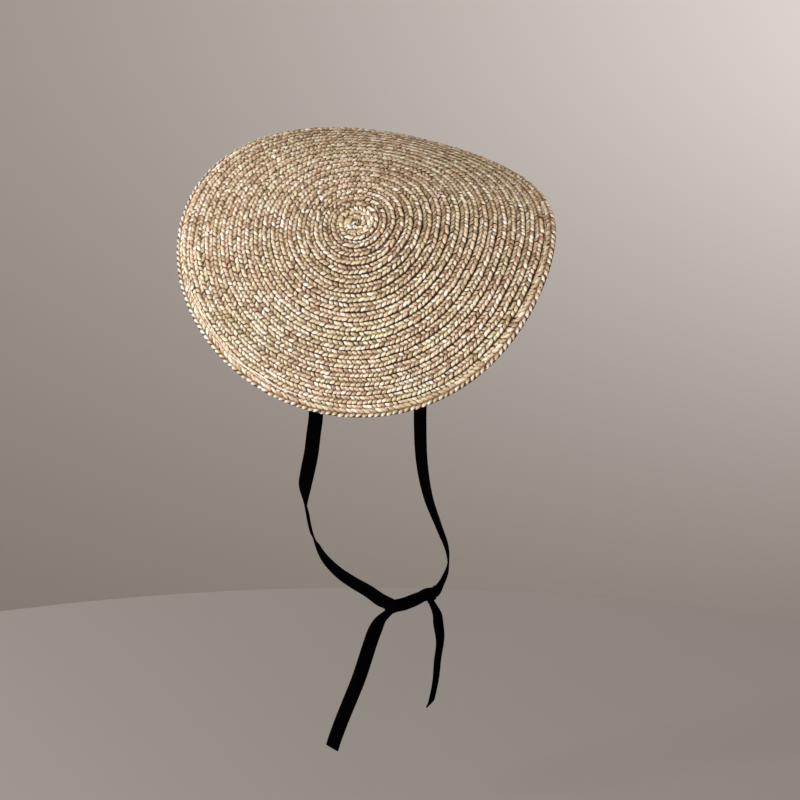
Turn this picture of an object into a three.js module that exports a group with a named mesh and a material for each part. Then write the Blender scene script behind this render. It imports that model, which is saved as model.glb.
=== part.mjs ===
// A straw saucer hat with a black ribbon tie, in the form it has on a wearer's head.
// The plate is one long straw braid sewn in a spiral, bent down at both sides and worn leaning left.
// Millimetres and degrees. +Z is up, the wearer faces -Y, and the wearer's left is +X.
// The origin is where the crown of the head meets the underside of the plate.
import * as THREE from "three";

// Straw plate
const BRAID_PITCH = 5.8; // width that each turn of the braid shows
const BRAID_TURNS = 21; // turns inside the rim braid
const BRAID_EDGE_LIFT = 1.5; // wall at the sewn edges of the braid
const BRAID_CROWN_LIFT = 2.5; // wall at the middle of the braid
const RIM_WIDTH = 5.5; // the doubled braid round the edge
const RIM_HANG = 0.5; // how far the rim braid reaches below the plate's underside
const RIM_CROWN_LIFT = 3.0;
const SEAM_GAP = 0.3; // clearance between neighbouring pieces
const SECTORS = 64; // facets round the plate

// How far the plate drops below its centre at SAG_RADIUS from it
const SAG_RADIUS = 120;
const SAG_SIDE = 77;
const SAG_FRONT = 20;
const SAG_BACK = 12;

// How the hat leans on the head
const LEAN_LEFT = 42;
const LEAN_BACK = 5;

// Velvet ribbon
const RIBBON_WIDTH = 10;
const RIBBON_THICKNESS = 1.2;
const RIBBON_EDGE = 0.4; // how far the rounded edge runs in
const STEPS_PER_POINT = 3; // facets between two points of a route

// Where the ribbons are sewn under the plate: offsets from its centre, before it leans,
// and how far the ribbon has come away from the plate there
const SEWN_LEFT = [
  { across: 76, along: -7, away: 0 },
  { across: 88, along: -7, away: 0 },
  { across: 98, along: -7, away: 0.4 },
  { across: 106, along: -7, away: 2.4 },
];
const SEWN_RIGHT = [
  { across: -56, along: -4, away: 0 },
  { across: -66, along: -4, away: 0 },
  { across: -76, along: -4, away: 0.8 },
  { across: -86, along: -4, away: 4 },
];

// Routes of the ribbons. face is the direction of the ribbon's outer side, turned from +X towards +Y.
const ROUTE_LEFT = [
  { x: 33, y: -18, z: -122, face: 0 },
  { x: 30, y: -21, z: -137, face: 0 },
  { x: 27, y: -24, z: -152, face: 0 },
  { x: 24, y: -28, z: -167, face: 0 },
  { x: 21.5, y: -31, z: -178, face: -8 },
  { x: 17.5, y: -33.5, z: -187.5, face: -28 },
  { x: 10, y: -36, z: -198, face: -52 },
  { x: 0, y: -38.5, z: -209, face: -66 },
  { x: -10, y: -41, z: -220.5, face: -70 },
  { x: -18, y: -42.5, z: -232, face: -66 },
  { x: -20.5, y: -40, z: -242.5, face: -55 },
  { x: -16.5, y: -34, z: -249.5, face: -44 },
  { x: -10, y: -26, z: -252.5, face: -33 },
  { x: -5, y: -16.5, z: -256, face: -20 },
  { x: -2.5, y: -6, z: -260, face: -6 },
  { x: -2.5, y: 5, z: -265, face: 8 },
];
const ROUTE_RIGHT = [
  { x: -99, y: -2, z: 16, face: 180 },
  { x: -108, y: 0, z: -2, face: 180 },
  { x: -116, y: 2, z: -30, face: 180 },
  { x: -121, y: 4, z: -60, face: 180 },
  { x: -123, y: 5, z: -90, face: 180 },
  { x: -122, y: 6, z: -120, face: 180 },
  { x: -117, y: 7, z: -150, face: 178 },
  { x: -109, y: 9, z: -180, face: 175 },
  { x: -101, y: 13, z: -208, face: 168 },
  { x: -94, y: 20, z: -231, face: 155 },
  { x: -85, y: 31, z: -249, face: 138 },
  { x: -73, y: 41, z: -260, face: 120 },
  { x: -59, y: 46, z: -267, face: 104 },
  { x: -46, y: 46, z: -272, face: 90 },
];
const ROUTE_TAIL_LEFT = [
  { x: -2, y: 14, z: -286, face: 24 },
  { x: 0, y: 10.5, z: -294, face: 22 },
  { x: 1, y: 8, z: -302, face: 20 },
  { x: 3, y: 4, z: -317, face: 14 },
  { x: 5, y: -0.5, z: -333, face: 8 },
  { x: 7, y: -6, z: -349, face: 2 },
  { x: 9, y: -11.5, z: -365, face: -2 },
  { x: 11, y: -16.5, z: -381, face: -4 },
  { x: 12, y: -18, z: -387, face: -4 },
];
const ROUTE_TAIL_RIGHT = [
  { x: -33, y: 45.5, z: -291, face: 60 },
  { x: -34, y: 46.5, z: -299, face: 64 },
  { x: -36, y: 47.5, z: -314, face: 70 },
  { x: -35, y: 46, z: -330, face: 74 },
  { x: -34, y: 45, z: -346, face: 78 },
  { x: -32, y: 42.5, z: -362, face: 80 },
  { x: -31, y: 41, z: -367, face: 80 },
];

// Knot: its middle line, and its half sizes at shares of that line
const KNOT_LINE = [
  { x: -4, y: 17, z: -272.3, face: 20 },
  { x: -6.5, y: 22, z: -275.7, face: 28 },
  { x: -12.5, y: 28, z: -276.2, face: 40 },
  { x: -21, y: 34.7, z: -275.3, face: 54 },
  { x: -34, y: 42.3, z: -275.6, face: 70 },
];
const KNOT_SECTIONS = [
  { share: 0, tall: 5.0, deep: 0.9 },
  { share: 0.14, tall: 5.2, deep: 2.0 },
  { share: 0.32, tall: 5.0, deep: 3.0 },
  { share: 0.52, tall: 4.8, deep: 3.8 },
  { share: 0.7, tall: 5.4, deep: 4.0 },
  { share: 0.88, tall: 5.0, deep: 2.6 },
  { share: 1, tall: 4.4, deep: 0.9 },
];
const KNOT_GAP = 0.4; // clearance between the knot and the ribbons that enter it
const KNOT_LEAD = 4; // straight stretch of a tie before the knot
const KNOT_SIDES = 12;
const KNOT_STEPS = 16;
const TAIL_PINCH = 0.45; // width of a free end where it leaves the knot, as a share of the ribbon's
const PINCH_POINTS = 2; // route points over which it spreads to its full width
const TAIL_DROP = 1.6; // how far below the knot's lower edge the middle of its end lies
const TAIL_LEFT_SHARE = 0.1; // where the free ends leave the knot, as shares of its middle line
const TAIL_RIGHT_SHARE = 0.97;

const straw = { color: 0xbfa173, roughness: 0.55, metalness: 0 };
const strawEdge = { color: 0xb5935f, roughness: 0.55, metalness: 0 };
const velvet = { color: 0x0b0a0b, roughness: 0.95, metalness: 0 };

const radians = THREE.MathUtils.degToRad;

// Height of the plate's underside over a point, before the hat leans.
const SAG_ENDS = (SAG_FRONT + SAG_BACK) / 2;
const SAG_SKEW = (SAG_FRONT - SAG_BACK) / 2;
function plateHeight(x, y) {
  const u = x / SAG_RADIUS;
  const v = y / SAG_RADIUS;
  return -SAG_SIDE * u * u - SAG_ENDS * v * v - SAG_SKEW * (3 * u * u * v - v * v * v);
}

function plateNormal(x, y) {
  const u = x / SAG_RADIUS;
  const v = y / SAG_RADIUS;
  const slopeX = (-2 * SAG_SIDE * u - 6 * SAG_SKEW * u * v) / SAG_RADIUS;
  const slopeY = (-2 * SAG_ENDS * v - 3 * SAG_SKEW * (u * u - v * v)) / SAG_RADIUS;
  return new THREE.Vector3(-slopeX, -slopeY, 1).normalize();
}

// The point over (x, y) on the underside, raised along the plate's normal.
function platePoint(x, y, lift) {
  return new THREE.Vector3(x, y, plateHeight(x, y)).addScaledVector(plateNormal(x, y), lift);
}

// Horizontal distance from the centre at which the curved plate is rho long.
const MARCH_STEP = 0.25;
function radiusAt(rho, angle) {
  const across = Math.cos(angle);
  const along = Math.sin(angle);
  let length = 0;
  let radius = 0;
  let height = 0;
  while (length < rho) {
    const next = radius + MARCH_STEP;
    const nextHeight = plateHeight(next * across, next * along);
    const step = Math.hypot(MARCH_STEP, nextHeight - height);
    if (length + step >= rho) return radius + (MARCH_STEP * (rho - length)) / step;
    length += step;
    radius = next;
    height = nextHeight;
  }
  return radius;
}

// A point of the plate by its length from the centre and its sector.
function spiralPoint(rho, sector, lift) {
  const angle = (2 * Math.PI * (sector % SECTORS)) / SECTORS;
  const radius = radiusAt(rho, angle);
  return platePoint(radius * Math.cos(angle), radius * Math.sin(angle), lift);
}

// A surface through rows of points, each joined to the next, with equal corners left out.
const SAME_POINT = 1e-5;
function skin(rows, closedRows) {
  const positions = [];
  const corner = (p) => positions.push(p.x, p.y, p.z);
  const triangle = (a, b, c) => {
    const shortest = Math.min(a.distanceTo(b), b.distanceTo(c), c.distanceTo(a));
    if (shortest > SAME_POINT) [a, b, c].forEach(corner);
  };
  rows.slice(1).forEach((outer, i) => {
    const inner = rows[i];
    const spans = closedRows ? inner.length : inner.length - 1;
    for (let j = 0; j < spans; j++) {
      const k = (j + 1) % inner.length;
      triangle(inner[j], outer[j], outer[k]);
      triangle(inner[j], outer[k], inner[k]);
    }
  });
  const geometry = new THREE.BufferGeometry();
  geometry.setAttribute("position", new THREE.Float32BufferAttribute(positions, 3));
  geometry.computeVertexNormals();
  return geometry;
}

function piece(name, geometry, look) {
  const mesh = new THREE.Mesh(geometry, new THREE.MeshStandardMaterial(look));
  mesh.name = name;
  return mesh;
}

// The plate: its top rises and falls with each turn of the spiral, and its underside is even.
function strawShell() {
  const shellRho = BRAID_PITCH * BRAID_TURNS;
  const clampRho = (rho) => Math.min(Math.max(rho, 0), shellRho);
  const sectors = Array.from({ length: SECTORS + 1 }, (_, j) => j);
  const edgeRho = (turn, j) => clampRho(BRAID_PITCH * (turn + j / SECTORS));
  const edgeRow = (turn, lift) => sectors.map((j) => spiralPoint(edgeRho(turn, j), j, lift));
  const crownRow = (turn) =>
    sectors.map((j) => {
      const inner = edgeRho(turn, j);
      const outer = edgeRho(turn + 1, j);
      const fullness = (outer - inner) / BRAID_PITCH;
      const lift = BRAID_EDGE_LIFT + (BRAID_CROWN_LIFT - BRAID_EDGE_LIFT) * fullness;
      return spiralPoint((inner + outer) / 2, j, lift);
    });
  const rows = [];
  for (let turn = -1; turn <= BRAID_TURNS; turn++) {
    rows.push(edgeRow(turn, BRAID_EDGE_LIFT));
    if (turn < BRAID_TURNS) rows.push(crownRow(turn));
  }
  for (let turn = BRAID_TURNS; turn >= -1; turn--) rows.push(edgeRow(turn, 0));
  return piece("straw_shell", skin(rows, false), straw);
}

// The doubled braid round the edge, a ring with a rounded section.
function rimBraid() {
  const start = BRAID_PITCH * BRAID_TURNS + SEAM_GAP;
  const section = [
    { out: 0, lift: 0 },
    { out: 0, lift: BRAID_EDGE_LIFT },
    { out: 0.35, lift: RIM_CROWN_LIFT },
    { out: 0.75, lift: RIM_CROWN_LIFT },
    { out: 1, lift: 1.4 },
    { out: 0.7, lift: -RIM_HANG },
    { out: 0.3, lift: -RIM_HANG },
  ];
  const sectors = Array.from({ length: SECTORS }, (_, j) => j);
  const row = ({ out, lift }) => sectors.map((j) => spiralPoint(start + out * RIM_WIDTH, j, lift));
  const rows = [...section, section[0]].map(row);
  return piece("rim_braid", skin(rows, true), strawEdge);
}

// A solid through closed sections, with a flat cap at each end.
function loft(sections) {
  const capAt = (section) => {
    const centre = section.reduce((sum, p) => sum.add(p), new THREE.Vector3());
    centre.divideScalar(section.length);
    return section.map(() => centre);
  };
  return skin([capAt(sections[0]), ...sections, capAt(sections[sections.length - 1])], true);
}

const pointOf = ({ x, y, z }) => new THREE.Vector3(x, y, z);
const facingOf = ({ face }) =>
  new THREE.Vector3(Math.cos(radians(face)), Math.sin(radians(face)), 0);

// A smooth line with an outer side: frameAt gives its place, its outward side and its upward side.
function facedLine(points, facings) {
  const line = new THREE.CatmullRomCurve3(points);
  const turn = new THREE.CatmullRomCurve3(facings);
  const frameAt = (share) => {
    const tangent = line.getTangent(share);
    const out = turn.getPoint(share);
    out.addScaledVector(tangent, -out.dot(tangent)).normalize();
    return { at: line.getPoint(share), out, side: new THREE.Vector3().crossVectors(tangent, out) };
  };
  return { frameAt, spans: points.length - 1 };
}

// A flat ribbon along a line, which may start narrower where it is pinched in a knot.
function ribbon(name, points, facings, startWidth = 1) {
  const half = RIBBON_WIDTH / 2;
  const thin = RIBBON_THICKNESS / 2;
  const section = [
    { side: half, out: 0 },
    { side: half - RIBBON_EDGE, out: thin },
    { side: RIBBON_EDGE - half, out: thin },
    { side: -half, out: 0 },
    { side: RIBBON_EDGE - half, out: -thin },
    { side: half - RIBBON_EDGE, out: -thin },
  ];
  const { frameAt, spans } = facedLine(points, facings);
  const steps = spans * STEPS_PER_POINT;
  const sections = Array.from({ length: steps + 1 }, (_, i) => {
    const { at, out, side } = frameAt(i / steps);
    const spread = THREE.MathUtils.smoothstep(i / STEPS_PER_POINT, 0, PINCH_POINTS);
    const width = THREE.MathUtils.lerp(startWidth, 1, spread);
    return section.map((s) =>
      at.clone().addScaledVector(side, s.side * width).addScaledVector(out, s.out),
    );
  });
  return piece(name, loft(sections), velvet);
}

// The stretch of a ribbon that lies sewn against the plate's underside.
function sewnStretch(seats, leaned) {
  const lift = -(SEAM_GAP + RIBBON_THICKNESS / 2);
  const seat = ({ across, along, away }) => platePoint(across, along, lift - away);
  const points = seats.map((s) => seat(s).applyMatrix4(leaned));
  const facings = seats.map((s) => plateNormal(s.across, s.along).transformDirection(leaned));
  return { points, facings };
}

function tie(name, seats, route, end, leaned) {
  const sewn = sewnStretch(seats, leaned);
  const points = [...sewn.points, ...route.map(pointOf), ...end.points];
  const facings = [...sewn.facings, ...route.map(facingOf), ...end.facings];
  return ribbon(name, points, facings);
}

const knotLine = facedLine(KNOT_LINE.map(pointOf), KNOT_LINE.map(facingOf));

// The knot's half sizes at a share of its middle line.
function knotSize(share) {
  const after = Math.max(1, KNOT_SECTIONS.findIndex((s) => s.share >= share));
  const [a, b] = [KNOT_SECTIONS[after - 1], KNOT_SECTIONS[after]];
  const mix = THREE.MathUtils.smoothstep(share, a.share, b.share);
  return {
    tall: THREE.MathUtils.lerp(a.tall, b.tall, mix),
    deep: THREE.MathUtils.lerp(a.deep, b.deep, mix),
  };
}

function tieKnot() {
  const sections = Array.from({ length: KNOT_STEPS + 1 }, (_, i) => {
    const { at, out, side } = knotLine.frameAt(i / KNOT_STEPS);
    const { tall, deep } = knotSize(i / KNOT_STEPS);
    return Array.from({ length: KNOT_SIDES }, (_, j) => {
      const angle = (2 * Math.PI * j) / KNOT_SIDES;
      return at
        .clone()
        .addScaledVector(side, tall * Math.cos(angle))
        .addScaledVector(out, deep * Math.sin(angle));
    });
  });
  return piece("tie_knot", loft(sections), velvet);
}

// Where a tie meets an end of the knot: two points in line with it, and the side that faces out.
function knotEnd(share, direction) {
  const { at, out, side } = knotLine.frameAt(share);
  const away = new THREE.Vector3().crossVectors(out, side).multiplyScalar(direction);
  const meet = at.clone().addScaledVector(away, KNOT_GAP);
  const lead = at.clone().addScaledVector(away, KNOT_LEAD);
  return { points: [lead, meet], facings: [out, out] };
}

// A free end that hangs from below the knot.
function tail(name, share, route) {
  const { at, out } = knotLine.frameAt(share);
  at.z -= knotSize(share).tall + TAIL_DROP;
  const points = [at, ...route.map(pointOf)];
  return ribbon(name, points, [out, ...route.map(facingOf)], TAIL_PINCH);
}

const plate = new THREE.Group();
plate.rotation.set(-radians(LEAN_BACK), radians(LEAN_LEFT), 0);
plate.add(strawShell(), rimBraid());
plate.updateMatrixWorld(true);

const hat = new THREE.Group();
hat.add(plate, tieKnot());
hat.add(tie("tie_left", SEWN_LEFT, ROUTE_LEFT, knotEnd(0, -1), plate.matrixWorld));
hat.add(tie("tie_right", SEWN_RIGHT, ROUTE_RIGHT, knotEnd(1, 1), plate.matrixWorld));
hat.add(tail("tail_left", TAIL_LEFT_SHARE, ROUTE_TAIL_LEFT));
hat.add(tail("tail_right", TAIL_RIGHT_SHARE, ROUTE_TAIL_RIGHT));

export default hat;
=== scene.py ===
"""Straw saucer hat with a velvet ribbon tie: camera, ribbons, plaited straw, finishes and light.

Lengths are metres in the part's own frame: +Z is up, the wearer faces -Y, the wearer's left is +X,
and the origin is under the middle of the plate.
"""

import math

import bpy
import numpy as np
from mathutils import Matrix, Vector


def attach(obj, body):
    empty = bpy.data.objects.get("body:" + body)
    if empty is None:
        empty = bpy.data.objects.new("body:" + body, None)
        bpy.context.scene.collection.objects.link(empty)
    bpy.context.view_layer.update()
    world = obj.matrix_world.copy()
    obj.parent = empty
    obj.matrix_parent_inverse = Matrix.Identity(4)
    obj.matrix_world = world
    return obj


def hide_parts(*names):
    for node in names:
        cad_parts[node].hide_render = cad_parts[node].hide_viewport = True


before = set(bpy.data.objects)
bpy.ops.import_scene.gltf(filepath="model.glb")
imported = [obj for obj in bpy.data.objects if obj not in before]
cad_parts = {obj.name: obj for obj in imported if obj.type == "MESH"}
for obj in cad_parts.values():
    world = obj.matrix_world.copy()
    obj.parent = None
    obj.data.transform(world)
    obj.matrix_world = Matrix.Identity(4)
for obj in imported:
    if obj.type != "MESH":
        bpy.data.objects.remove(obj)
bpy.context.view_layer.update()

MM = 0.001
TURN = 2 * math.pi
SEED = 11
rng = np.random.default_rng(SEED)

# Camera, at the photograph's angle and distance
CAMERA_AZIMUTH = math.radians(108)
CAMERA_ELEVATION = math.radians(22)
CAMERA_DISTANCE = 1.2
CAMERA_LENS_MM = 84.375
CAMERA_SENSOR_MM = 36
AIM_RIGHT = 27.97 * MM
AIM_DOWN = 113.7 * MM

# Plate: a saddle-bent dish, leaned to the wearer's left and a little back
SAG_RADIUS = 120 * MM
SAG_SIDE = 77 * MM
SAG_FRONT = 20 * MM
SAG_BACK = 12 * MM
SAG_ENDS = (SAG_FRONT + SAG_BACK) / 2
SAG_SKEW = (SAG_FRONT - SAG_BACK) / 2
LEAN_LEFT = math.radians(42)
LEAN_BACK = math.radians(5)
PLATE_TOP = 2.5 * MM
LEAN = np.array(Matrix.Rotation(-LEAN_BACK, 3, "X") @ Matrix.Rotation(LEAN_LEFT, 3, "Y"))


def unit(vectors):
    return vectors / np.linalg.norm(vectors, axis=-1, keepdims=True)


def run_along(line):
    """Length from the start of a line to each of its points."""
    return np.concatenate([[0], np.cumsum(np.linalg.norm(np.diff(line, axis=0), axis=1))])


def plate_height(x, y):
    u = x / SAG_RADIUS
    v = y / SAG_RADIUS
    return -SAG_SIDE * u**2 - SAG_ENDS * v**2 - SAG_SKEW * (3 * u**2 * v - v**3)


def plate_normal(x, y):
    u = x / SAG_RADIUS
    v = y / SAG_RADIUS
    slope_x = (-2 * SAG_SIDE * u - 6 * SAG_SKEW * u * v) / SAG_RADIUS
    slope_y = (-2 * SAG_ENDS * v - 3 * SAG_SKEW * (u**2 - v**2)) / SAG_RADIUS
    return unit(np.stack([-slope_x, -slope_y, np.ones_like(slope_x)], -1))


def plate_point(x, y, lift):
    """Points over (x, y) on the plate's underside, raised along its normal and leaned as worn."""
    base = np.stack([x, y, plate_height(x, y)], -1)
    return (base + lift[..., None] * plate_normal(x, y)) @ LEAN.T


# Lengths along the plate from its centre, as a table of plan radii by angle
PLATE_REACH = 140 * MM
TABLE_ANGLES = 240
TABLE_STEPS = 560


def plan_radius_table():
    angles = np.linspace(0, TURN, TABLE_ANGLES + 1)[:, None]
    radii = np.linspace(0, PLATE_REACH, TABLE_STEPS + 1)[None]
    heights = plate_height(radii * np.cos(angles), radii * np.sin(angles))
    steps = np.hypot(np.diff(radii), np.diff(heights))
    lengths = np.concatenate([np.zeros((TABLE_ANGLES + 1, 1)), np.cumsum(steps, 1)], 1)
    return np.stack([np.interp(radii[0], row, radii[0]) for row in lengths])


PLAN_RADIUS = plan_radius_table()


def on_plate(rho, angle, lift):
    """Points by their length from the centre along the plate, their angle round it and their lift."""
    column = np.mod(angle, TURN) / TURN * TABLE_ANGLES
    row = np.clip(rho / PLATE_REACH, 0, 1) * TABLE_STEPS
    i = np.minimum(column.astype(int), TABLE_ANGLES - 1)
    j = np.minimum(row.astype(int), TABLE_STEPS - 1)
    a = column - i
    b = row - j
    near = PLAN_RADIUS[i, j] * (1 - b) + PLAN_RADIUS[i, j + 1] * b
    far = PLAN_RADIUS[i + 1, j] * (1 - b) + PLAN_RADIUS[i + 1, j + 1] * b
    radius = near * (1 - a) + far * a
    return plate_point(radius * np.cos(angle), radius * np.sin(angle), lift)


def aim_camera():
    azimuth, elevation = CAMERA_AZIMUTH, CAMERA_ELEVATION
    away = Vector((math.sin(azimuth) * math.cos(elevation),
                   -math.cos(azimuth) * math.cos(elevation),
                   math.sin(elevation)))
    right = Vector((math.cos(azimuth), math.sin(azimuth), 0))
    up = away.cross(right)
    top = Vector(LEAN @ np.array([0, 0, PLATE_TOP]))
    place = top + CAMERA_DISTANCE * away + AIM_RIGHT * right - AIM_DOWN * up
    data = bpy.data.cameras.new("camera")
    data.lens = CAMERA_LENS_MM
    data.sensor_width = CAMERA_SENSOR_MM
    camera = bpy.data.objects.new("camera", data)
    camera.matrix_world = Matrix.Translation(place) @ Matrix((right, up, away)).transposed().to_4x4()
    bpy.context.scene.collection.objects.link(camera)
    bpy.context.scene.camera = camera


aim_camera()


def new_mesh(name, points, faces, material, tones=None):
    """A smooth mesh object from an array of points and lists of the points round each face."""
    mesh = bpy.data.meshes.new(name)
    mesh.from_pydata(points.tolist(), [], faces)
    mesh.polygons.foreach_set("use_smooth", np.ones(len(mesh.polygons), bool))
    for label, values in (tones or {}).items():
        layer = mesh.attributes.new(label, "FLOAT", "POINT")
        layer.data.foreach_set("value", np.ascontiguousarray(values, np.float32))
    mesh.materials.append(material)
    mesh.validate()
    piece = bpy.data.objects.new(name, mesh)
    bpy.context.scene.collection.objects.link(piece)
    return piece


def skin(rows, columns, first=0, capped=True):
    """Faces of a tube whose points run row by row, each row one closed section."""
    row = np.arange(rows - 1)[:, None] * columns
    column = np.arange(columns)[None]
    after = (column + 1) % columns
    quads = np.stack([row + column, row + after, row + columns + after, row + columns + column], -1)
    faces = (quads.reshape(-1, 4) + first).tolist()
    if capped:
        last = (rows - 1) * columns
        faces.append([first + c for c in range(columns)][::-1])
        faces.append([first + last + c for c in range(columns)])
    return faces


# Ribbon routes in millimetres, as (x, y, z, facing in degrees from the wearer's left)
ROUTE_LEFT = [
    (33, -18, -122, 0), (30, -21, -137, 0), (27, -24, -152, 0), (24, -28, -167, 0),
    (21.5, -31, -178, -8), (17.5, -33.5, -187.5, -28), (10, -36, -198, -52), (0, -38.5, -209, -66),
    (-10, -41, -220.5, -70), (-18, -42.5, -232, -66), (-20.5, -40, -242.5, -55),
    (-16.5, -34, -249.5, -44), (-10, -26, -252.5, -33), (-5, -16.5, -256, -20),
    (-2.5, -6, -260, -6), (-2.5, 5, -265, 8),
]
ROUTE_RIGHT = [
    (-99, -2, 16, 180), (-108, 0, -2, 180), (-116, 2, -30, 180), (-121, 4, -60, 180),
    (-123, 5, -90, 180), (-122, 6, -120, 180), (-117, 7, -150, 178), (-109, 9, -180, 175),
    (-101, 13, -208, 168), (-94, 20, -231, 155), (-85, 31, -249, 138), (-73, 41, -260, 120),
    (-59, 46, -267, 104), (-46, 46, -272, 90),
]
ROUTE_TAIL_LEFT = [
    (-2, 14, -286, 24), (0, 10.5, -294, 22), (1, 8, -302, 20), (3, 4, -317, 14), (5, -0.5, -333, 8),
    (7, -6, -349, 2), (9, -11.5, -365, -2), (11, -16.5, -381, -4), (12, -18, -387, -4),
]
ROUTE_TAIL_RIGHT = [
    (-33, 45.5, -291, 60), (-34, 46.5, -299, 64), (-36, 47.5, -314, 70), (-35, 46, -330, 74),
    (-34, 45, -346, 78), (-32, 42.5, -362, 80), (-31, 41, -367, 80),
]
KNOT_LINE = [
    (-4, 17, -272.3, 20), (-6.5, 22, -275.7, 28), (-12.5, 28, -276.2, 40), (-21, 34.7, -275.3, 54),
    (-34, 42.3, -275.6, 70),
]

# Where each tie is sewn under the plate, in millimetres: across, along and off the underside
SEWN_LEFT = [(76, -7, 0), (88, -7, 0), (98, -7, 0.4), (106, -7, 2.4)]
SEWN_RIGHT = [(-56, -4, 0), (-66, -4, 0), (-76, -4, 0.8), (-86, -4, 4)]
SEAM_GAP = 0.3 * MM

RIBBON_WIDTH = 10 * MM
RIBBON_THICKNESS = 1.2 * MM
STEPS_PER_POINT = 10

# Ribbon ends: gaps to the knot, where the tails leave it, how narrow they start, how they are cut
KNOT_GAP = 0.4 * MM
KNOT_LEAD = 4 * MM
TAIL_LEFT_SHARE = 0.1
TAIL_RIGHT_SHARE = 0.97
TAIL_LEFT_DROP = 6.7 * MM
TAIL_RIGHT_DROP = 6.1 * MM
TAIL_LEFT_PINCH = 0.6
TAIL_RIGHT_PINCH = 0.5
TAIL_LEFT_CUT = -1.2 * MM
TAIL_RIGHT_CUT = 4 * MM
PINCH_POINTS = 2
CUT_REACH = 20 * MM

# Shortest gap between two points of a line, and the step that finds its direction
SAME_POINT = 1e-4
NUDGE = 1e-4


def smooth_line(points, shares):
    """A centripetal curve through points, at shares of its course from 0 to 1."""
    ends = [2 * points[0] - points[1], *points, 2 * points[-1] - points[-2]]
    knots = np.array(ends)
    place = np.asarray(shares) * (len(points) - 1)
    i = np.minimum(place.astype(int), len(points) - 2)
    w = (place - i)[:, None]
    p0, p1, p2, p3 = (knots[i + k] for k in range(4))
    gap = [np.sqrt(np.linalg.norm(b - a, axis=1))[:, None] for a, b in ((p0, p1), (p1, p2), (p2, p3))]
    gap[1] = np.where(gap[1] < SAME_POINT, 1, gap[1])
    gap[0] = np.where(gap[0] < SAME_POINT, gap[1], gap[0])
    gap[2] = np.where(gap[2] < SAME_POINT, gap[1], gap[2])
    leave = ((p1 - p0) / gap[0] - (p2 - p0) / (gap[0] + gap[1]) + (p2 - p1) / gap[1]) * gap[1]
    arrive = ((p2 - p1) / gap[1] - (p3 - p1) / (gap[1] + gap[2]) + (p3 - p2) / gap[2]) * gap[1]
    return (p1 + leave * w + (3 * (p2 - p1) - 2 * leave - arrive) * w**2
            + (2 * (p1 - p2) + leave + arrive) * w**3)


def places_of(route):
    return np.array([point[:3] for point in route]) * MM


def facings_of(route):
    face = np.radians([point[3] for point in route])
    return np.stack([np.cos(face), np.sin(face), np.zeros_like(face)], -1)


def faced_line(points, facings, shares):
    """Places on a line, with its outward side and its edgeward side there."""
    shares = np.asarray(shares, float)
    ahead = smooth_line(points, np.clip(shares + NUDGE, 0, 1))
    behind = smooth_line(points, np.clip(shares - NUDGE, 0, 1))
    tangent = unit(ahead - behind)
    out = smooth_line(facings, shares)
    out = unit(out - np.sum(out * tangent, -1, keepdims=True) * tangent)
    return smooth_line(points, shares), out, np.cross(tangent, out)


knot_points = places_of(KNOT_LINE)
knot_facings = facings_of(KNOT_LINE)


def knot_end(share, direction):
    """Two points in line with an end of the knot, and the side that faces out there."""
    at, out, side = (value[0] for value in faced_line(knot_points, knot_facings, [share]))
    away = np.cross(out, side) * direction
    return np.array([at + away * KNOT_LEAD, at + away * KNOT_GAP]), np.array([out, out])


def tie_course(seats, route, end):
    across, along, away = np.array(seats, float).T * MM
    sewn = plate_point(across, along, -(SEAM_GAP + RIBBON_THICKNESS / 2) - away)
    sewn_facings = plate_normal(across, along) @ LEAN.T
    points = np.concatenate([sewn, places_of(route), end[0]])
    return points, np.concatenate([sewn_facings, facings_of(route), end[1]])


def tail_course(share, drop, route):
    at, out, _ = (value[0] for value in faced_line(knot_points, knot_facings, [share]))
    start = at - np.array([0, 0, drop])
    return np.concatenate([[start], places_of(route)]), np.concatenate([[out], facings_of(route)])


# Ribbon section: a pile body between two thin woven edges, as (side, half thickness) shares
RIBBON_UPPER = [
    (1.0, 0.14), (0.93, 0.2), (0.88, 0.72), (0.8, 0.9), (0.45, 1.0), (0.0, 1.0),
    (-0.45, 1.0), (-0.8, 0.9), (-0.88, 0.72), (-0.93, 0.2), (-1.0, 0.14),
]
RIBBON_SECTION = RIBBON_UPPER + [(s, -t) for s, t in RIBBON_UPPER[::-1]]

# Slow ripples of the ribbon's edges, with their lengths to a radian
RIPPLE = 0.25 * MM
RIPPLE_LENGTHS = (11 * MM, 17 * MM)
RIPPLE_LEAN = 0.5
RIPPLE_LEAN_LENGTH = 23 * MM


def ribbon_arrays(points, facings, start_width=1.0, cut=0.0):
    """Rows of points of a flat ribbon, its middle line and its length; cut slants its far end."""
    steps = (len(points) - 1) * STEPS_PER_POINT
    shares = np.linspace(0, 1, steps + 1)
    at, out, side = faced_line(points, facings, shares)
    spread = np.clip(shares * (len(points) - 1) / PINCH_POINTS, 0, 1)
    width = start_width + (1 - start_width) * spread**2 * (3 - 2 * spread)
    run = run_along(at)
    phase = rng.uniform(0, TURN, 3)
    waves = [np.sin(run / length + phase[k]) for k, length in enumerate(RIPPLE_LENGTHS)]
    ripple = RIPPLE * (waves[0] + waves[1]) / 2
    lean = RIPPLE_LEAN * np.sin(run / RIPPLE_LEAN_LENGTH + phase[2])
    tangent = np.cross(out, side)
    near_end = np.clip(1 - (run[-1] - run) / CUT_REACH, 0, 1)
    rows = []
    for s, t in RIBBON_SECTION:
        reach = s * RIBBON_WIDTH / 2 * width
        rise = t * RIBBON_THICKNESS / 2 + ripple * s * lean
        slant = near_end * cut * (s - 1) / 2
        rows.append(at + side * reach[:, None] + out * rise[:, None] + tangent * slant[:, None])
    return np.stack(rows, 1), at, run[-1]


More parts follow.
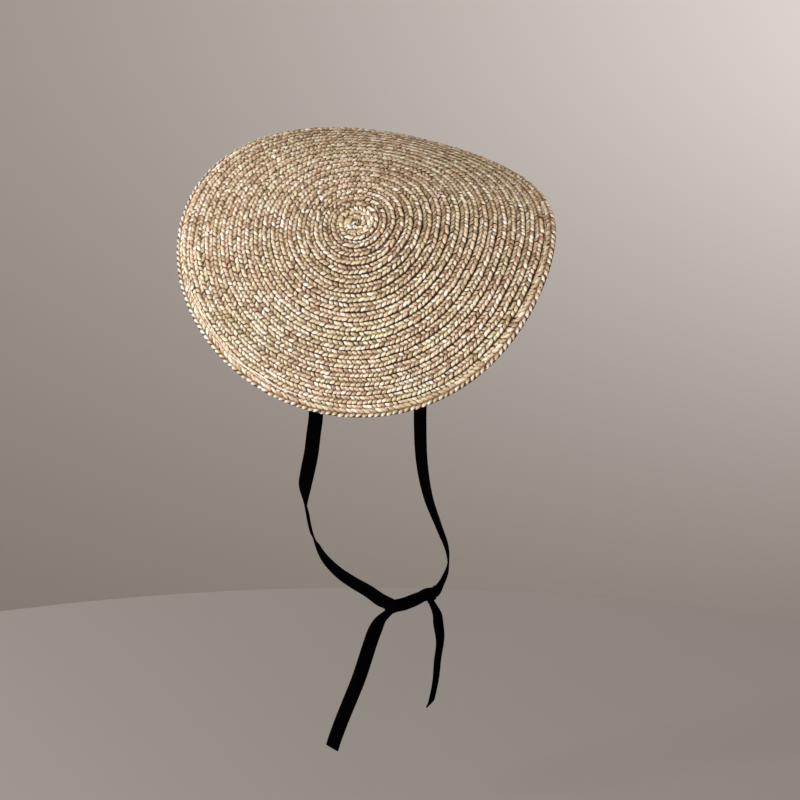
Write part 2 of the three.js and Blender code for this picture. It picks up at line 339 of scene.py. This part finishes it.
def new_material(name):
    material = bpy.data.materials.new(name)
    material.use_nodes = True
    return material, material.node_tree, material.node_tree.nodes["Principled BSDF"]


def mix(tree, blend, fraction, a, b):
    node = tree.nodes.new("ShaderNodeMix")
    node.data_type = "RGBA"
    node.blend_type = blend
    for socket, value in (("Factor_Float", fraction), ("A_Color", a), ("B_Color", b)):
        target = next(i for i in node.inputs if i.identifier == socket)
        if isinstance(value, bpy.types.NodeSocket):
            tree.links.new(value, target)
        else:
            target.default_value = value
    return next(o for o in node.outputs if o.identifier == "Result_Color")


def attribute(tree, name):
    node = tree.nodes.new("ShaderNodeAttribute")
    node.attribute_name = name
    return node.outputs["Fac"]


def ramp(tree, source, stops):
    node = tree.nodes.new("ShaderNodeValToRGB")
    tree.links.new(source, node.inputs["Fac"])
    elements = node.color_ramp.elements
    while len(elements) < len(stops):
        elements.new(0.5)
    for element, (place, colour) in zip(elements, stops):
        element.position = place
        element.color = (*colour, 1)
    return node.outputs["Color"]


def noise(tree, place, scale, detail):
    node = tree.nodes.new("ShaderNodeTexNoise")
    node.inputs["Scale"].default_value = scale
    node.inputs["Detail"].default_value = detail
    tree.links.new(place, node.inputs["Vector"])
    return node


def bump(tree, shader, height, strength, distance):
    node = tree.nodes.new("ShaderNodeBump")
    node.inputs["Strength"].default_value = strength
    node.inputs["Distance"].default_value = distance
    tree.links.new(height, node.inputs["Height"])
    tree.links.new(node.outputs["Normal"], shader.inputs["Normal"])


# Velvet: fine tufts and slow patches of pile, with scales in cells to the metre
TUFT_SCALE = 900
TUFT_DETAIL = 1
TUFT_BUMP = 0.5
TUFT_DEPTH = 0.2 * MM
PATCH_SCALE = 70
PATCH_DETAIL = 2
PATCH_SHARE = 0.5
PILE_STOPS = [(0.3, (0.0002, 0.0002, 0.0002)), (0.7, (0.0016, 0.0014, 0.0014))]
PILE_SETTINGS = {
    "Roughness": 0.95,
    "Specular IOR Level": 0.0,
    "Sheen Weight": 0.001,
    "Sheen Roughness": 0.4,
}


def black_velvet():
    """Deep black pile: fine tufts, and slow patches where it lies over."""
    material, tree, shader = new_material("black_velvet")
    place = tree.nodes.new("ShaderNodeTexCoord").outputs["Object"]
    tufts = noise(tree, place, TUFT_SCALE, TUFT_DETAIL)
    patches = noise(tree, place, PATCH_SCALE, PATCH_DETAIL)
    pile = mix(tree, "MIX", PATCH_SHARE, tufts.outputs["Color"], patches.outputs["Color"])
    tree.links.new(ramp(tree, pile, PILE_STOPS), shader.inputs["Base Color"])
    bump(tree, shader, tufts.outputs["Fac"], TUFT_BUMP, TUFT_DEPTH)
    for label, value in PILE_SETTINGS.items():
        shader.inputs[label].default_value = value
    return material


velvet = black_velvet()


def ribbon(name, course, start_width=1.0, cut=0.0):
    grid, middle, length = ribbon_arrays(*course, start_width, cut)
    rows, columns = grid.shape[:2]
    piece = new_mesh("velvet_" + name, grid.reshape(-1, 3), skin(rows, columns), velvet)
    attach(piece, "root")
    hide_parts(name)
    return piece, middle, length


ribbon("tie_left", tie_course(SEWN_LEFT, ROUTE_LEFT, knot_end(0, -1)))
ribbon("tie_right", tie_course(SEWN_RIGHT, ROUTE_RIGHT, knot_end(1, 1)))
ribbon("tail_left", tail_course(TAIL_LEFT_SHARE, TAIL_LEFT_DROP, ROUTE_TAIL_LEFT),
               TAIL_LEFT_PINCH, TAIL_LEFT_CUT)
ribbon("tail_right", tail_course(TAIL_RIGHT_SHARE, TAIL_RIGHT_DROP, ROUTE_TAIL_RIGHT),
               TAIL_RIGHT_PINCH, TAIL_RIGHT_CUT)

# Plait: flat straws, each over from an edge to the middle of the braid, then under to the other edge
ROWS_PER_PERIOD = 16
FINE_STEPS = 64
STRAND_SECTION = [
    (-0.5, 0.0), (-0.38, 0.7), (0.0, 1.0), (0.38, 0.7),
    (0.5, 0.0), (0.38, -0.7), (0.0, -1.0), (-0.38, -0.7),
]

# How much of a strand's way along the braid is made at its folds and dives, and how full its floats are
FLOAT_EASE = 0.75
FLOAT_FULLNESS = 0.45

# Shares of the half width where a fold, an edge of painted shade and an outer bead with its painted
# highlight begin, and how fast they set in
FOLD_FROM = 0.6
EDGE_FROM = 0.5
EDGE_FADE = 0.3
BEAD_FROM = 0.4
BEAD_FADE = 0.3

# Painted light and shade: the least painted light at a dive, and painted shade on a low strand by its
# height
DIVE_PAINTED_LIGHT = 0.12
LOW_MIDDLE = 0.5
LOW_SLOPE = 0.8


class Plait:
    """How one braid is plaited: its strands and their size, and how they rise, dive and fold.

    cover, dive_cover and fold_cover are a strand's width on its floats, at its dives and at its folds,
    as shares of a stitch. hump and shingle shape the braid across, and softness rounds a strand's rise.
    fold_shade paints shade on low strands at the edges. bead_painted_highlight paints a highlight on the
    stitches of the outer edge, and bead_gap narrows them. core_spare is how far the core stands out past
    the braid's half width.
    """

    def __init__(self, strands, stitch, half, thick, rise, softness, cover, dive_cover, fold_cover,
                 hump, shingle, fold_shade, bead_painted_highlight, bead_gap, core_spare):
        self.strands = strands
        self.stitch = stitch
        self.half = half
        self.thick = thick
        self.hump = hump
        self.shingle = shingle
        self.core_half = half + core_spare
        self.period = strands * stitch

        # One period of the course across the braid, finely stepped
        fine = np.linspace(0, 1, FINE_STEPS * ROWS_PER_PERIOD + 1)
        swing = np.sin(2 * TURN * fine)
        across = -(half - thick / 2) * np.cos(TURN * fine)
        up = rise * swing * np.sqrt((1 + softness**2) / (swing**2 + softness**2))
        step_across = np.gradient(across)
        step_up = np.gradient(up)
        size = np.hypot(step_across, step_up)
        even = run_along(np.stack([across, up], -1))
        even = even / even[-1]
        share = even + FLOAT_EASE * np.sin(4 * TURN * even) / (4 * TURN)

        # The same at each row of a strand's points
        pick = slice(0, -1, FINE_STEPS)
        self.across = across[pick]
        self.up = up[pick]
        self.normal_across = (-step_up / size)[pick]
        self.normal_up = (step_across / size)[pick]
        self.share = share[pick]
        self.inward = -self.normal_up * np.sign(self.up)

        # Width, tone with the bead's painted highlight, and painted light and shade of the strand there
        float_share = np.abs(swing[pick]) ** FLOAT_FULLNESS
        side = np.abs(self.across) / half
        at_bead = np.clip((self.across / half - BEAD_FROM) / BEAD_FADE, 0, 1)
        narrow = np.where(side > FOLD_FROM, fold_cover, dive_cover)
        self.cover = (narrow + (cover - narrow) * float_share) * (1 - bead_gap * at_bead)
        self.bead_painted_highlight = bead_painted_highlight * at_bead
        edge_share = np.clip((side - EDGE_FROM) / EDGE_FADE, 0, 1)
        low_share = np.clip(LOW_MIDDLE - LOW_SLOPE * self.up / rise, 0, 1)
        # Painted shade: darkest at the dives, and on low strands at the folds
        painted_dive_light = np.maximum(np.maximum(float_share, side), DIVE_PAINTED_LIGHT)
        self.open = painted_dive_light * (1 - fold_shade * edge_share * low_share)

    def lift(self, v):
        """Height across the braid: low at its inner edge, humped, raised at its outer edge."""
        share = v / self.half
        return self.hump * (1 - share**2) + self.shingle * share


# Unevenness from stitch to stitch: shares of the width and the rise, and lengths
STITCH_WIDTHS = (0.8, 1.16)
STITCH_RISES = (0.5, 1.45)
STITCH_TWIST = 0.18 * MM
STITCH_SLIP = 0.22 * MM
STITCH_SHIFT = 0.22 * MM

# Middle of the first float as a share of a period, and how far strands lie apart in the fibre noise
FIRST_FLOAT = 0.125
GRAIN_RANGE = 100


def strand_arrays(plait, course, u_first, periods, strand):
    """Points of one strand over whole periods, with the tone, painted light and shade, and grain at each.
    """
    rows = periods * ROWS_PER_PERIOD + 1
    row = np.arange(rows)
    phase = row % ROWS_PER_PERIOD
    turns = row // ROWS_PER_PERIOD + plait.share[phase]
    stitches = 2 * periods + 2
    middles = np.arange(stitches) / 2 + FIRST_FLOAT

    def by_stitch(values):
        return np.interp(turns, middles, values)

    wide = by_stitch(rng.uniform(*STITCH_WIDTHS, stitches)) * plait.cover[phase]
    tall = by_stitch(rng.uniform(*STITCH_RISES, stitches))
    twist = by_stitch(rng.normal(0, STITCH_TWIST, stitches))
    slip = by_stitch(rng.normal(0, STITCH_SLIP, stitches))
    shift = by_stitch(rng.normal(0, STITCH_SHIFT, stitches))
    # The outer bead's painted highlight is added to the stitch tone
    tone = by_stitch(straw_tones(stitches)) + plait.bead_painted_highlight[phase]
    tint = by_stitch(straw_tints(stitches))
    edge, rise = np.array(STRAND_SECTION).T
    along = (u_first + strand * plait.stitch + plait.period * turns + shift)[:, None]
    u = along + edge * plait.stitch * wide[:, None]
    thick = rise * plait.thick / 2
    v = (plait.across[phase] + slip)[:, None] + thick * plait.normal_across[phase][:, None]
    z = plait.up[phase][:, None] * tall[:, None] + thick * plait.normal_up[phase][:, None]
    z = z + 2 * edge * twist[:, None]
    points = course(u.ravel(), v.ravel(), z.ravel())
    # Painted shade on the sides of a strand that face into the braid
    inner_painted_shade = np.clip(plait.inward[phase][:, None] * rise, 0, 1)
    values = {
        "tone": np.repeat(tone, len(edge)),
        "tint": np.repeat(tint, len(edge)),
        "open": (plait.open[phase][:, None] * (1 - inner_painted_shade)).ravel(),
        "along": np.repeat(turns * plait.period / MM, len(edge)),
        "across": np.tile(edge, rows),
        "strand": np.full(rows * len(edge), rng.uniform(0, GRAIN_RANGE)),
    }
    return points, values, rows, len(edge)


# Core: a flat dark sheet inside the plait, painted shade on top where it shows between the strands, and
# lighter painted shade underneath
CORE_SECTION = [(-1, 1), (0, 1), (1, 1), (1, -1), (0, -1), (-1, -1)]
CORE_HALF_THICK = 0.12 * MM
CORE_SINK = 0.22 * MM
CORE_UNDER_PAINTED_LIGHT = 0.6
CORE_UNDER_TONE = 0.35
CORE_TINT = 0.5
CORE_ROWS_PER_PERIOD = 7


def shade_sheet_arrays(plait, course, u_first, periods):
    """Points of the flat dark sheet inside the plait, painted shade that closes the gaps between its
    strands.
    """
    rows = periods * CORE_ROWS_PER_PERIOD + 1
    along = u_first + np.arange(rows) * plait.period / CORE_ROWS_PER_PERIOD
    side, face = np.array(CORE_SECTION).T
    u, v = np.meshgrid(along, side * plait.core_half, indexing="ij")
    z = np.broadcast_to(face * CORE_HALF_THICK - CORE_SINK, u.shape)
    points = course(u.ravel(), v.ravel(), z.ravel())
    values = {label: np.zeros(len(points)) for label in ("along", "across", "strand")}
    # Painted shade: darkest tone and least light on top, lighter underneath
    under = np.tile(face < 0, rows)
    values["tone"] = CORE_UNDER_TONE * under
    values["tint"] = np.full(len(points), CORE_TINT)
    values["open"] = CORE_UNDER_PAINTED_LIGHT * under
    return points, values, rows, len(side)


# Straw: how many stitches one splint lasts, how alike splints and stitches are, and how tints drift
SPLINT_STITCHES = (10, 34)
SPLINT_LIKENESS = 14
STITCH_TONE = 0.26
TINT_STITCHES = 9
STITCH_TINT = 0.2


def straw_tones(stitches):
    """Tone of each stitch of a strand: each splint of straw has its own, and each stitch varies."""
    tones = []
    while len(tones) < stitches:
        splint = rng.beta(SPLINT_LIKENESS, SPLINT_LIKENESS)
        tones += [splint] * rng.integers(*SPLINT_STITCHES)
    return np.clip(np.array(tones[:stitches]) + rng.normal(0, STITCH_TONE, stitches), 0, 1)


def straw_tints(stitches):
    """Tint of each stitch, from greenish at 0 to pinkish at 1, drifting along the strand."""
    marks = np.arange(stitches // TINT_STITCHES + 2) * TINT_STITCHES
    drift = np.interp(np.arange(stitches), marks, rng.uniform(0, 1, len(marks)))
    return np.clip(drift + rng.normal(0, STITCH_TINT, stitches), 0, 1)


# Rim: how far in from the edge it lies on the rows, which are pressed down under it
RIM_EDGE = 127.5 * MM
RIM_REACH = 6.5 * MM
RIM_FADE = 3 * MM
RIM_PRESS = 1.0 * MM

# Spiral of braid: each row is humped, and its inner edge is tucked under the row before
row_plait = Plait(strands=3, stitch=3.2 * MM, half=3.05 * MM, thick=1.0 * MM, rise=0.5 * MM,
                  softness=0.8, cover=1.0, dive_cover=0.55, fold_cover=0.45, hump=0.45 * MM,
                  shingle=0.88 * MM, fold_shade=0.9, bead_painted_highlight=0, bead_gap=0, core_spare=0.35 * MM)
BRAID_PITCH = 5.8 * MM
PITCH_TIGHTEN = 0.25
TIGHTEN_TURNS = 6
SPIRAL_START = 0.02
SPIRAL_END = 21.6
SPIRAL_STEPS = 24000
SHELL_LIFT = 1.2 * MM

# Centre of the spiral: flat at first, and then with its rows set more steeply than further out
FLAT_TURNS = 1.7
SETTLE_TURNS = 0.7
FLAT_SHARE = 0.75
CENTRE_STEEP = 0.7
CENTRE_TURNS = 5

# Unevenness of the rows across and along, with its wave lengths in millimetres
ROW_SWAY = 0.2 * MM
SWAY_WAVES = (17, 26, 41, 67)
ROW_CREEP = 0.9 * MM
CREEP_WAVES = (31, 53, 83, 131)


def spiral_middle(turn):
    """Length from the centre to the middle of the braid, with tighter rows near the centre."""
    return BRAID_PITCH * turn * (1 - PITCH_TIGHTEN * np.exp(-turn / TIGHTEN_TURNS))


def spiral_table():
    turn = np.linspace(SPIRAL_START, SPIRAL_END, SPIRAL_STEPS)
    middle = spiral_middle(turn)
    return turn, middle, run_along(on_plate(middle, TURN * turn, np.zeros_like(turn)))


spiral_turn, spiral_rho, spiral_run = spiral_table()


def wander(lengths, waves):
    """An even, seeded unevenness along a braid, mostly within one up or down."""
    sizes = np.array(waves) * MM
    phases = rng.uniform(0, TURN, len(sizes))
    total = sum(np.sin(TURN * lengths / size + phase) for size, phase in zip(sizes, phases))
    return total / math.sqrt(len(sizes))


row_sway = ROW_SWAY * wander(spiral_run, SWAY_WAVES)
row_creep = ROW_CREEP * wander(spiral_run, CREEP_WAVES)


def spiral_course(u, v, z):
    """Points of the spiral by length along the braid, place across it and height."""
    place = u + np.interp(u, spiral_run, row_creep)
    turn = np.interp(place, spiral_run, spiral_turn)
    rho = np.maximum(np.interp(place, spiral_run, spiral_rho + row_sway) + v, 0)
    under_rim = np.clip((rho - RIM_EDGE + RIM_REACH) / RIM_FADE, 0, 1)
    settled = np.clip((turn - FLAT_TURNS) / SETTLE_TURNS, 0, 1)
    steep = settled * (1 + CENTRE_STEEP * np.exp(-turn / CENTRE_TURNS))
    height = z * (FLAT_SHARE + (1 - FLAT_SHARE) * settled) + row_plait.lift(v) * steep
    return on_plate(rho, TURN * turn, SHELL_LIFT - RIM_PRESS * under_rim + height)


# Straw colours by tone, by tint and by fibre, darkened by painted shade where little light is painted in,
# and roughness by the same share
STRAW_STOPS = [(0.0, (0.37, 0.25, 0.155)), (0.22, (0.53, 0.40, 0.27)), (0.48, (0.66, 0.535, 0.39)),
               (0.74, (0.80, 0.70, 0.56)), (1.0, (0.90, 0.87, 0.81))]
RIM_STOPS = [(0.0, (0.40, 0.275, 0.17)), (0.3, (0.55, 0.42, 0.285)), (0.65, (0.72, 0.60, 0.45)),
             (1.0, (0.90, 0.86, 0.78))]
TINT_STOPS = [(0.0, (0.95, 1.0, 0.85)), (0.4, (1, 1, 0.97)), (0.65, (1, 0.98, 1)),
              (1.0, (1.03, 0.92, 0.88))]
FIBRE_STOPS = [(0.3, (0.82, 0.78, 0.72)), (0.7, (1.08, 1.08, 1.08))]
PAINTED_SHADE_STOPS = [(0.0, (0.10, 0.065, 0.04)), (0.6, (0.63, 0.555, 0.48)), (0.9, (1, 1, 1))]
SHINE_STOPS = [(0.3, (0.9, 0.9, 0.9)), (0.9, (0.29, 0.29, 0.29))]

# Fibres along the strand: cells to the millimetre along, to the strand's width, and from strand to strand
FIBRE_STRETCH = (0.12, 7, 1)
FIBRE_SCALE = 1
FIBRE_DETAIL = 2
FIBRE_BUMP = 0.25
FIBRE_DEPTH = 0.1 * MM


def straw_material(name, stops):
    """Straw coloured by its tone, tint and fibre, with painted shade in its crevices, glossy where no
    shade is painted.
    """
    material, tree, shader = new_material(name)
    fibre_place = tree.nodes.new("ShaderNodeCombineXYZ")
    for axis, label in zip("XYZ", ("along", "across", "strand")):
        tree.links.new(attribute(tree, label), fibre_place.inputs[axis])
    stretch = tree.nodes.new("ShaderNodeVectorMath")
    stretch.operation = "MULTIPLY"
    stretch.inputs[1].default_value = FIBRE_STRETCH
    tree.links.new(fibre_place.outputs["Vector"], stretch.inputs[0])
    fibre = noise(tree, stretch.outputs["Vector"], FIBRE_SCALE, FIBRE_DETAIL).outputs["Fac"]
    # Painted light share: low values paint shade into the colour and roughen the straw
    painted_light_level = attribute(tree, "open")
    colour = ramp(tree, attribute(tree, "tone"), stops)
    for source, shades in ((attribute(tree, "tint"), TINT_STOPS), (fibre, FIBRE_STOPS),
                           (painted_light_level, PAINTED_SHADE_STOPS)):
        colour = mix(tree, "MULTIPLY", 1.0, colour, ramp(tree, source, shades))
    tree.links.new(colour, shader.inputs["Base Color"])
    tree.links.new(ramp(tree, painted_light_level, SHINE_STOPS), shader.inputs["Roughness"])
    bump(tree, shader, fibre, FIBRE_BUMP, FIBRE_DEPTH)
    return material


straw = straw_material("straw", STRAW_STOPS)
rim_straw = straw_material("rim_straw", RIM_STOPS)


def joined(name, parts, material):
    """One mesh from the arrays of many strands."""
    points, faces, values = [], [], {}
    count = 0
    for part_points, part_values, rows, columns in parts:
        faces += skin(rows, columns, count)
        points.append(part_points)
        count += len(part_points)
        for label, part in part_values.items():
            values.setdefault(label, []).append(part)
    tones = {label: np.concatenate(pieces) for label, pieces in values.items()}
    return new_mesh(name, np.concatenate(points), faces, material, tones)


def braid_parts(plait, course, u_first, periods):
    strands = [strand_arrays(plait, course, u_first, periods, strand) for strand in range(plait.strands)]
    return strands + [shade_sheet_arrays(plait, course, u_first, periods)]


# The spiral in four meshes, cut between whole periods of the plait
SHELL_PIECES = 4
shell_periods = int(spiral_run[-1] / row_plait.period) - 1
shell_cuts = np.linspace(0, shell_periods, SHELL_PIECES + 1).round().astype(int)
for number, (start, end) in enumerate(zip(shell_cuts[:-1], shell_cuts[1:])):
    shell_parts = braid_parts(row_plait, spiral_course, start * row_plait.period, end - start)
    shell = joined(f"straw_rows_{number + 1}", shell_parts, straw)
    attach(shell, "root")
    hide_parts("straw_shell")

# Rim: a flatter braid laid over the end of the spiral, all the way round
# bead_painted_highlight paints a highlight on the stitches of the outer edge
rim_plait = Plait(strands=3, stitch=4.0 * MM, half=3.2 * MM, thick=1.1 * MM, rise=0.45 * MM,
                  softness=1.0, cover=1.0, dive_cover=0.6, fold_cover=0.6, hump=0.3 * MM,
                  shingle=-0.15 * MM, fold_shade=0.3, bead_painted_highlight=0.5, bead_gap=0.5, core_spare=0)
RIM_MIDDLE = RIM_EDGE - rim_plait.half
RIM_LIFT = 1.8 * MM
RING_STEPS = 2000

# Long straws beside the rim, as inset and lift in millimetres, and first and last angle in degrees
LONG_STRAWS = [(6.4, 1.9, -78, -30), (7.4, 2.0, -70, -14), (8.5, 2.05, -60, -6)]
LONG_WIDTH = 1.0 * MM
LONG_THICK = 0.6 * MM
LONG_ROWS = 120

# Their waves to the radian, how deep and over what part of their length their ends dive, and their looks,
# with painted shade along their edges
LONG_SWAY = 0.35 * MM
LONG_SWAY_WAVES = (17, 29)
LONG_SWELL = 0.2
LONG_SWELL_WAVES = 11
LONG_DIVE = 2 * MM
LONG_DIVE_SHARE = 1 / 8
LONG_TONES = 7
LONG_TONE_BETA = (4, 1.5)
LONG_TINTS = (0.4, 0.8)
LONG_EDGE_SHADE = 0.5


def ring_parts(plait, middle, lift):
    """A braid once round the plate, over a whole number of its periods."""
    angle = np.linspace(0, TURN, RING_STEPS + 1)
    run = run_along(on_plate(np.full_like(angle, middle), angle, np.zeros_like(angle)))
    periods = round(run[-1] / plait.period)
    stretch = run[-1] / (periods * plait.period)

    def course(u, v, z):
        at = np.interp(np.mod(u * stretch, run[-1]), run, angle)
        return on_plate(middle + v, at, lift + z + plait.lift(v))

    return braid_parts(plait, course, 0, periods)


def long_straw(inset, lift, start, end):
    """A flat straw laid along the rim between two angles, in degrees; its ends dive under the rows."""
    share = np.linspace(0, 1, LONG_ROWS + 1)
    angle = np.radians(start + (end - start) * share)
    phase = rng.uniform(0, TURN, 3)
    waves = [np.sin(count * angle + phase[k]) for k, count in enumerate(LONG_SWAY_WAVES)]
    sway = LONG_SWAY * (waves[0] + waves[1])
    width = LONG_WIDTH * (1 + LONG_SWELL * np.sin(LONG_SWELL_WAVES * angle + phase[2]))
    to_end = np.minimum(share, 1 - share) / LONG_DIVE_SHARE
    height = lift * MM - LONG_DIVE * np.clip(1 - to_end, 0, 1) ** 2
    edge, rise = np.array(STRAND_SECTION).T
    rho = (RIM_EDGE - inset * MM + sway)[:, None] + edge * width[:, None]
    height = height[:, None] + rise * LONG_THICK / 2
    points = on_plate(rho.ravel(), np.repeat(angle, len(edge)), height.ravel())
    tone = np.interp(share, np.linspace(0, 1, LONG_TONES), rng.beta(*LONG_TONE_BETA, LONG_TONES))
    values = {
        "tone": np.repeat(tone, len(edge)),
        "tint": np.full(len(points), rng.uniform(*LONG_TINTS)),
        # Painted shade along the straw's edges
        "open": np.tile(1 - LONG_EDGE_SHADE * np.abs(edge), LONG_ROWS + 1),
        "along": np.repeat(angle * RIM_EDGE / MM, len(edge)),
        "across": np.tile(edge, LONG_ROWS + 1),
        "strand": np.full(len(points), rng.uniform(0, GRAIN_RANGE)),
    }
    return points, values, LONG_ROWS + 1, len(edge)


rim_parts = ring_parts(rim_plait, RIM_MIDDLE, RIM_LIFT)
rim_parts += [long_straw(*place) for place in LONG_STRAWS]
rim = joined("straw_rim", rim_parts, rim_straw)
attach(rim, "root")
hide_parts("rim_braid")

# Knot bands in millimetres: x, y, z, facing in degrees, width share, and how far the edges curl back
KNOT_WRAP = [
    (-33.2, 42.7, -275.5, 70, 0.84, 0.2), (-27, 40.2, -274.7, 64, 0.98, 1.2),
    (-18.4, 36.3, -275, 52, 1.0, 1.8), (-10.4, 29.9, -276, 38, 0.94, 1.6),
    (-4.8, 23.4, -276.4, 28, 0.82, 1.0), (-3.9, 20.6, -278.4, 22, 0.7, 0.5),
    (-4.7, 18.9, -280.6, 20, 0.6, 0.1),
]
KNOT_UNDER = [
    (-2.6, 15.4, -270.7, 17, 0.98, 0), (-4.2, 18.3, -272.9, 21, 0.98, 0),
    (-7.4, 21.4, -275.6, 28, 0.96, -0.4), (-14.3, 26.5, -276.4, 40, 0.9, -1.0),
    (-22.4, 32.8, -275.8, 54, 0.9, -1.0), (-30.2, 39.4, -276.4, 66, 0.82, -0.4),
    (-33.2, 41.6, -279, 68, 0.86, 0), (-33.3, 42.0, -282, 66, 0.9, 0),
]
KNOT_TUCK = [
    (-6.3, 21.4, -275.2, 27, 0.8, 0), (-12.4, 28, -276.2, 40, 0.84, 0),
    (-21, 34.8, -275.4, 54, 0.86, 0), (-29, 39.8, -275.6, 66, 0.72, 0),
]

# Each band's thickness as a share of the flat ribbon's, and the creases along it in radians to its length
BAND_SPREAD = 1.5
TUCK_SPREAD = 3.2
CREASE = 0.22 * MM
CREASE_WAVES = (19, 7)


def band_arrays(band, spread):
    """Rows of points of one ribbon bend of the knot, its thickness spread by that factor."""
    shares = np.linspace(0, 1, (len(band) - 1) * STEPS_PER_POINT + 1)
    at, out, side = faced_line(places_of(band), facings_of(band), shares)
    shape = np.array([point[4:] for point in band])
    stops = np.linspace(0, 1, len(band))
    width = np.interp(shares, stops, shape[:, 0]) * RIBBON_WIDTH / 2
    curl = np.interp(shares, stops, shape[:, 1]) * MM
    phase = rng.uniform(0, TURN, 2)
    waves = [np.sin(shares * count + phase[k]) for k, count in enumerate(CREASE_WAVES)]
    crease = CREASE * waves[0] * waves[1]
    rows = []
    for s, t in RIBBON_SECTION:
        rise = t * spread * RIBBON_THICKNESS / 2 - curl * s**2 + crease * (1 + s)
        rows.append(at + side * (s * width)[:, None] + out * rise[:, None])
    return np.stack(rows, 1)


def tie_knot():
    points, faces = [], []
    for band, spread in ((KNOT_WRAP, BAND_SPREAD), (KNOT_UNDER, BAND_SPREAD), (KNOT_TUCK, TUCK_SPREAD)):
        grid = band_arrays(band, spread)
        faces += skin(*grid.shape[:2], sum(len(p) for p in points))
        points.append(grid.reshape(-1, 3))
    piece = new_mesh("velvet_knot", np.concatenate(points), faces, velvet)
    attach(piece, "root")
    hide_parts("tie_knot")


tie_knot()

# Stage: a round pale floor in a round pale room
FLOOR_Z = -0.45
FLOOR_RADIUS = 1.2
FLOOR_CENTRE = (0.80, 0.26)
FLOOR_COLOUR = (0.315, 0.297, 0.28)
FLOOR_ROUGHNESS = 0.6
WALL_RADIUS = 3.5
WALL_FOOT = -3.0
WALL_HEIGHT = 0.6
WALL_CENTRE = (0, 0)
WALL_COLOUR = (0.315, 0.278, 0.242)
WALL_ROUGHNESS = 0.8
STAGE_SIDES = 128


def plain(name, colour, roughness):
    material, _, shader = new_material(name)
    shader.inputs["Base Color"].default_value = (*colour, 1)
    shader.inputs["Roughness"].default_value = roughness
    return material


def ring_points(radius, z, centre):
    angle = np.linspace(0, TURN, STAGE_SIDES, endpoint=False)
    x = centre[0] + radius * np.cos(angle)
    y = centre[1] + radius * np.sin(angle)
    return np.stack([x, y, np.full(STAGE_SIDES, z)], -1)


floor_points = ring_points(FLOOR_RADIUS, FLOOR_Z, FLOOR_CENTRE)
floor = new_mesh("floor", floor_points, [list(range(STAGE_SIDES))],
                 plain("pale_table", FLOOR_COLOUR, FLOOR_ROUGHNESS))
wall_points = np.concatenate([ring_points(WALL_RADIUS, z, WALL_CENTRE) for z in (WALL_FOOT, WALL_HEIGHT)])
wall = new_mesh("wall", wall_points, skin(2, STAGE_SIDES, capped=False),
                plain("pale_wall", WALL_COLOUR, WALL_ROUGHNESS))


def area_light(name, place, aim, size, power, colour, spread=180):
    data = bpy.data.lights.new(name, "AREA")
    data.shape = "DISK"
    data.size = size
    data.energy = power
    data.color = colour
    data.spread = math.radians(spread)
    light = bpy.data.objects.new(name, data)
    light.location = place
    light.rotation_euler = (Vector(aim) - Vector(place)).to_track_quat("-Z", "Y").to_euler()
    bpy.context.scene.collection.objects.link(light)


# Light: a low key from the wearer's front left, a broad fill, and a wash on the wall behind the hat
area_light("key", place=(1.05, -1.35, 0.28), aim=(-0.02, 0, -0.03), size=0.5, power=28.5,
           colour=(0.975, 1.0, 1.04))
area_light("fill", place=(3.0, 0.8, 0.6), aim=(0, 0, -0.1), size=1.8, power=51,
           colour=(1.0, 0.985, 0.97))
area_light("wall_wash", place=(-1.9, 1.4, -0.2), aim=(-3.5, -0.3, -0.35), size=1.2, power=50,
           colour=(0.9, 0.97, 1.06), spread=115)

# Even warm light from all round
SKY_COLOUR = (0.97, 0.865, 0.755, 1)
SKY_STRENGTH = 0.53
world = bpy.data.worlds.new("studio")
world.use_nodes = True
sky = world.node_tree.nodes["Background"]
sky.inputs["Color"].default_value = SKY_COLOUR
sky.inputs["Strength"].default_value = SKY_STRENGTH
bpy.context.scene.world = world
bpy.context.scene.view_settings.view_transform = "Standard"
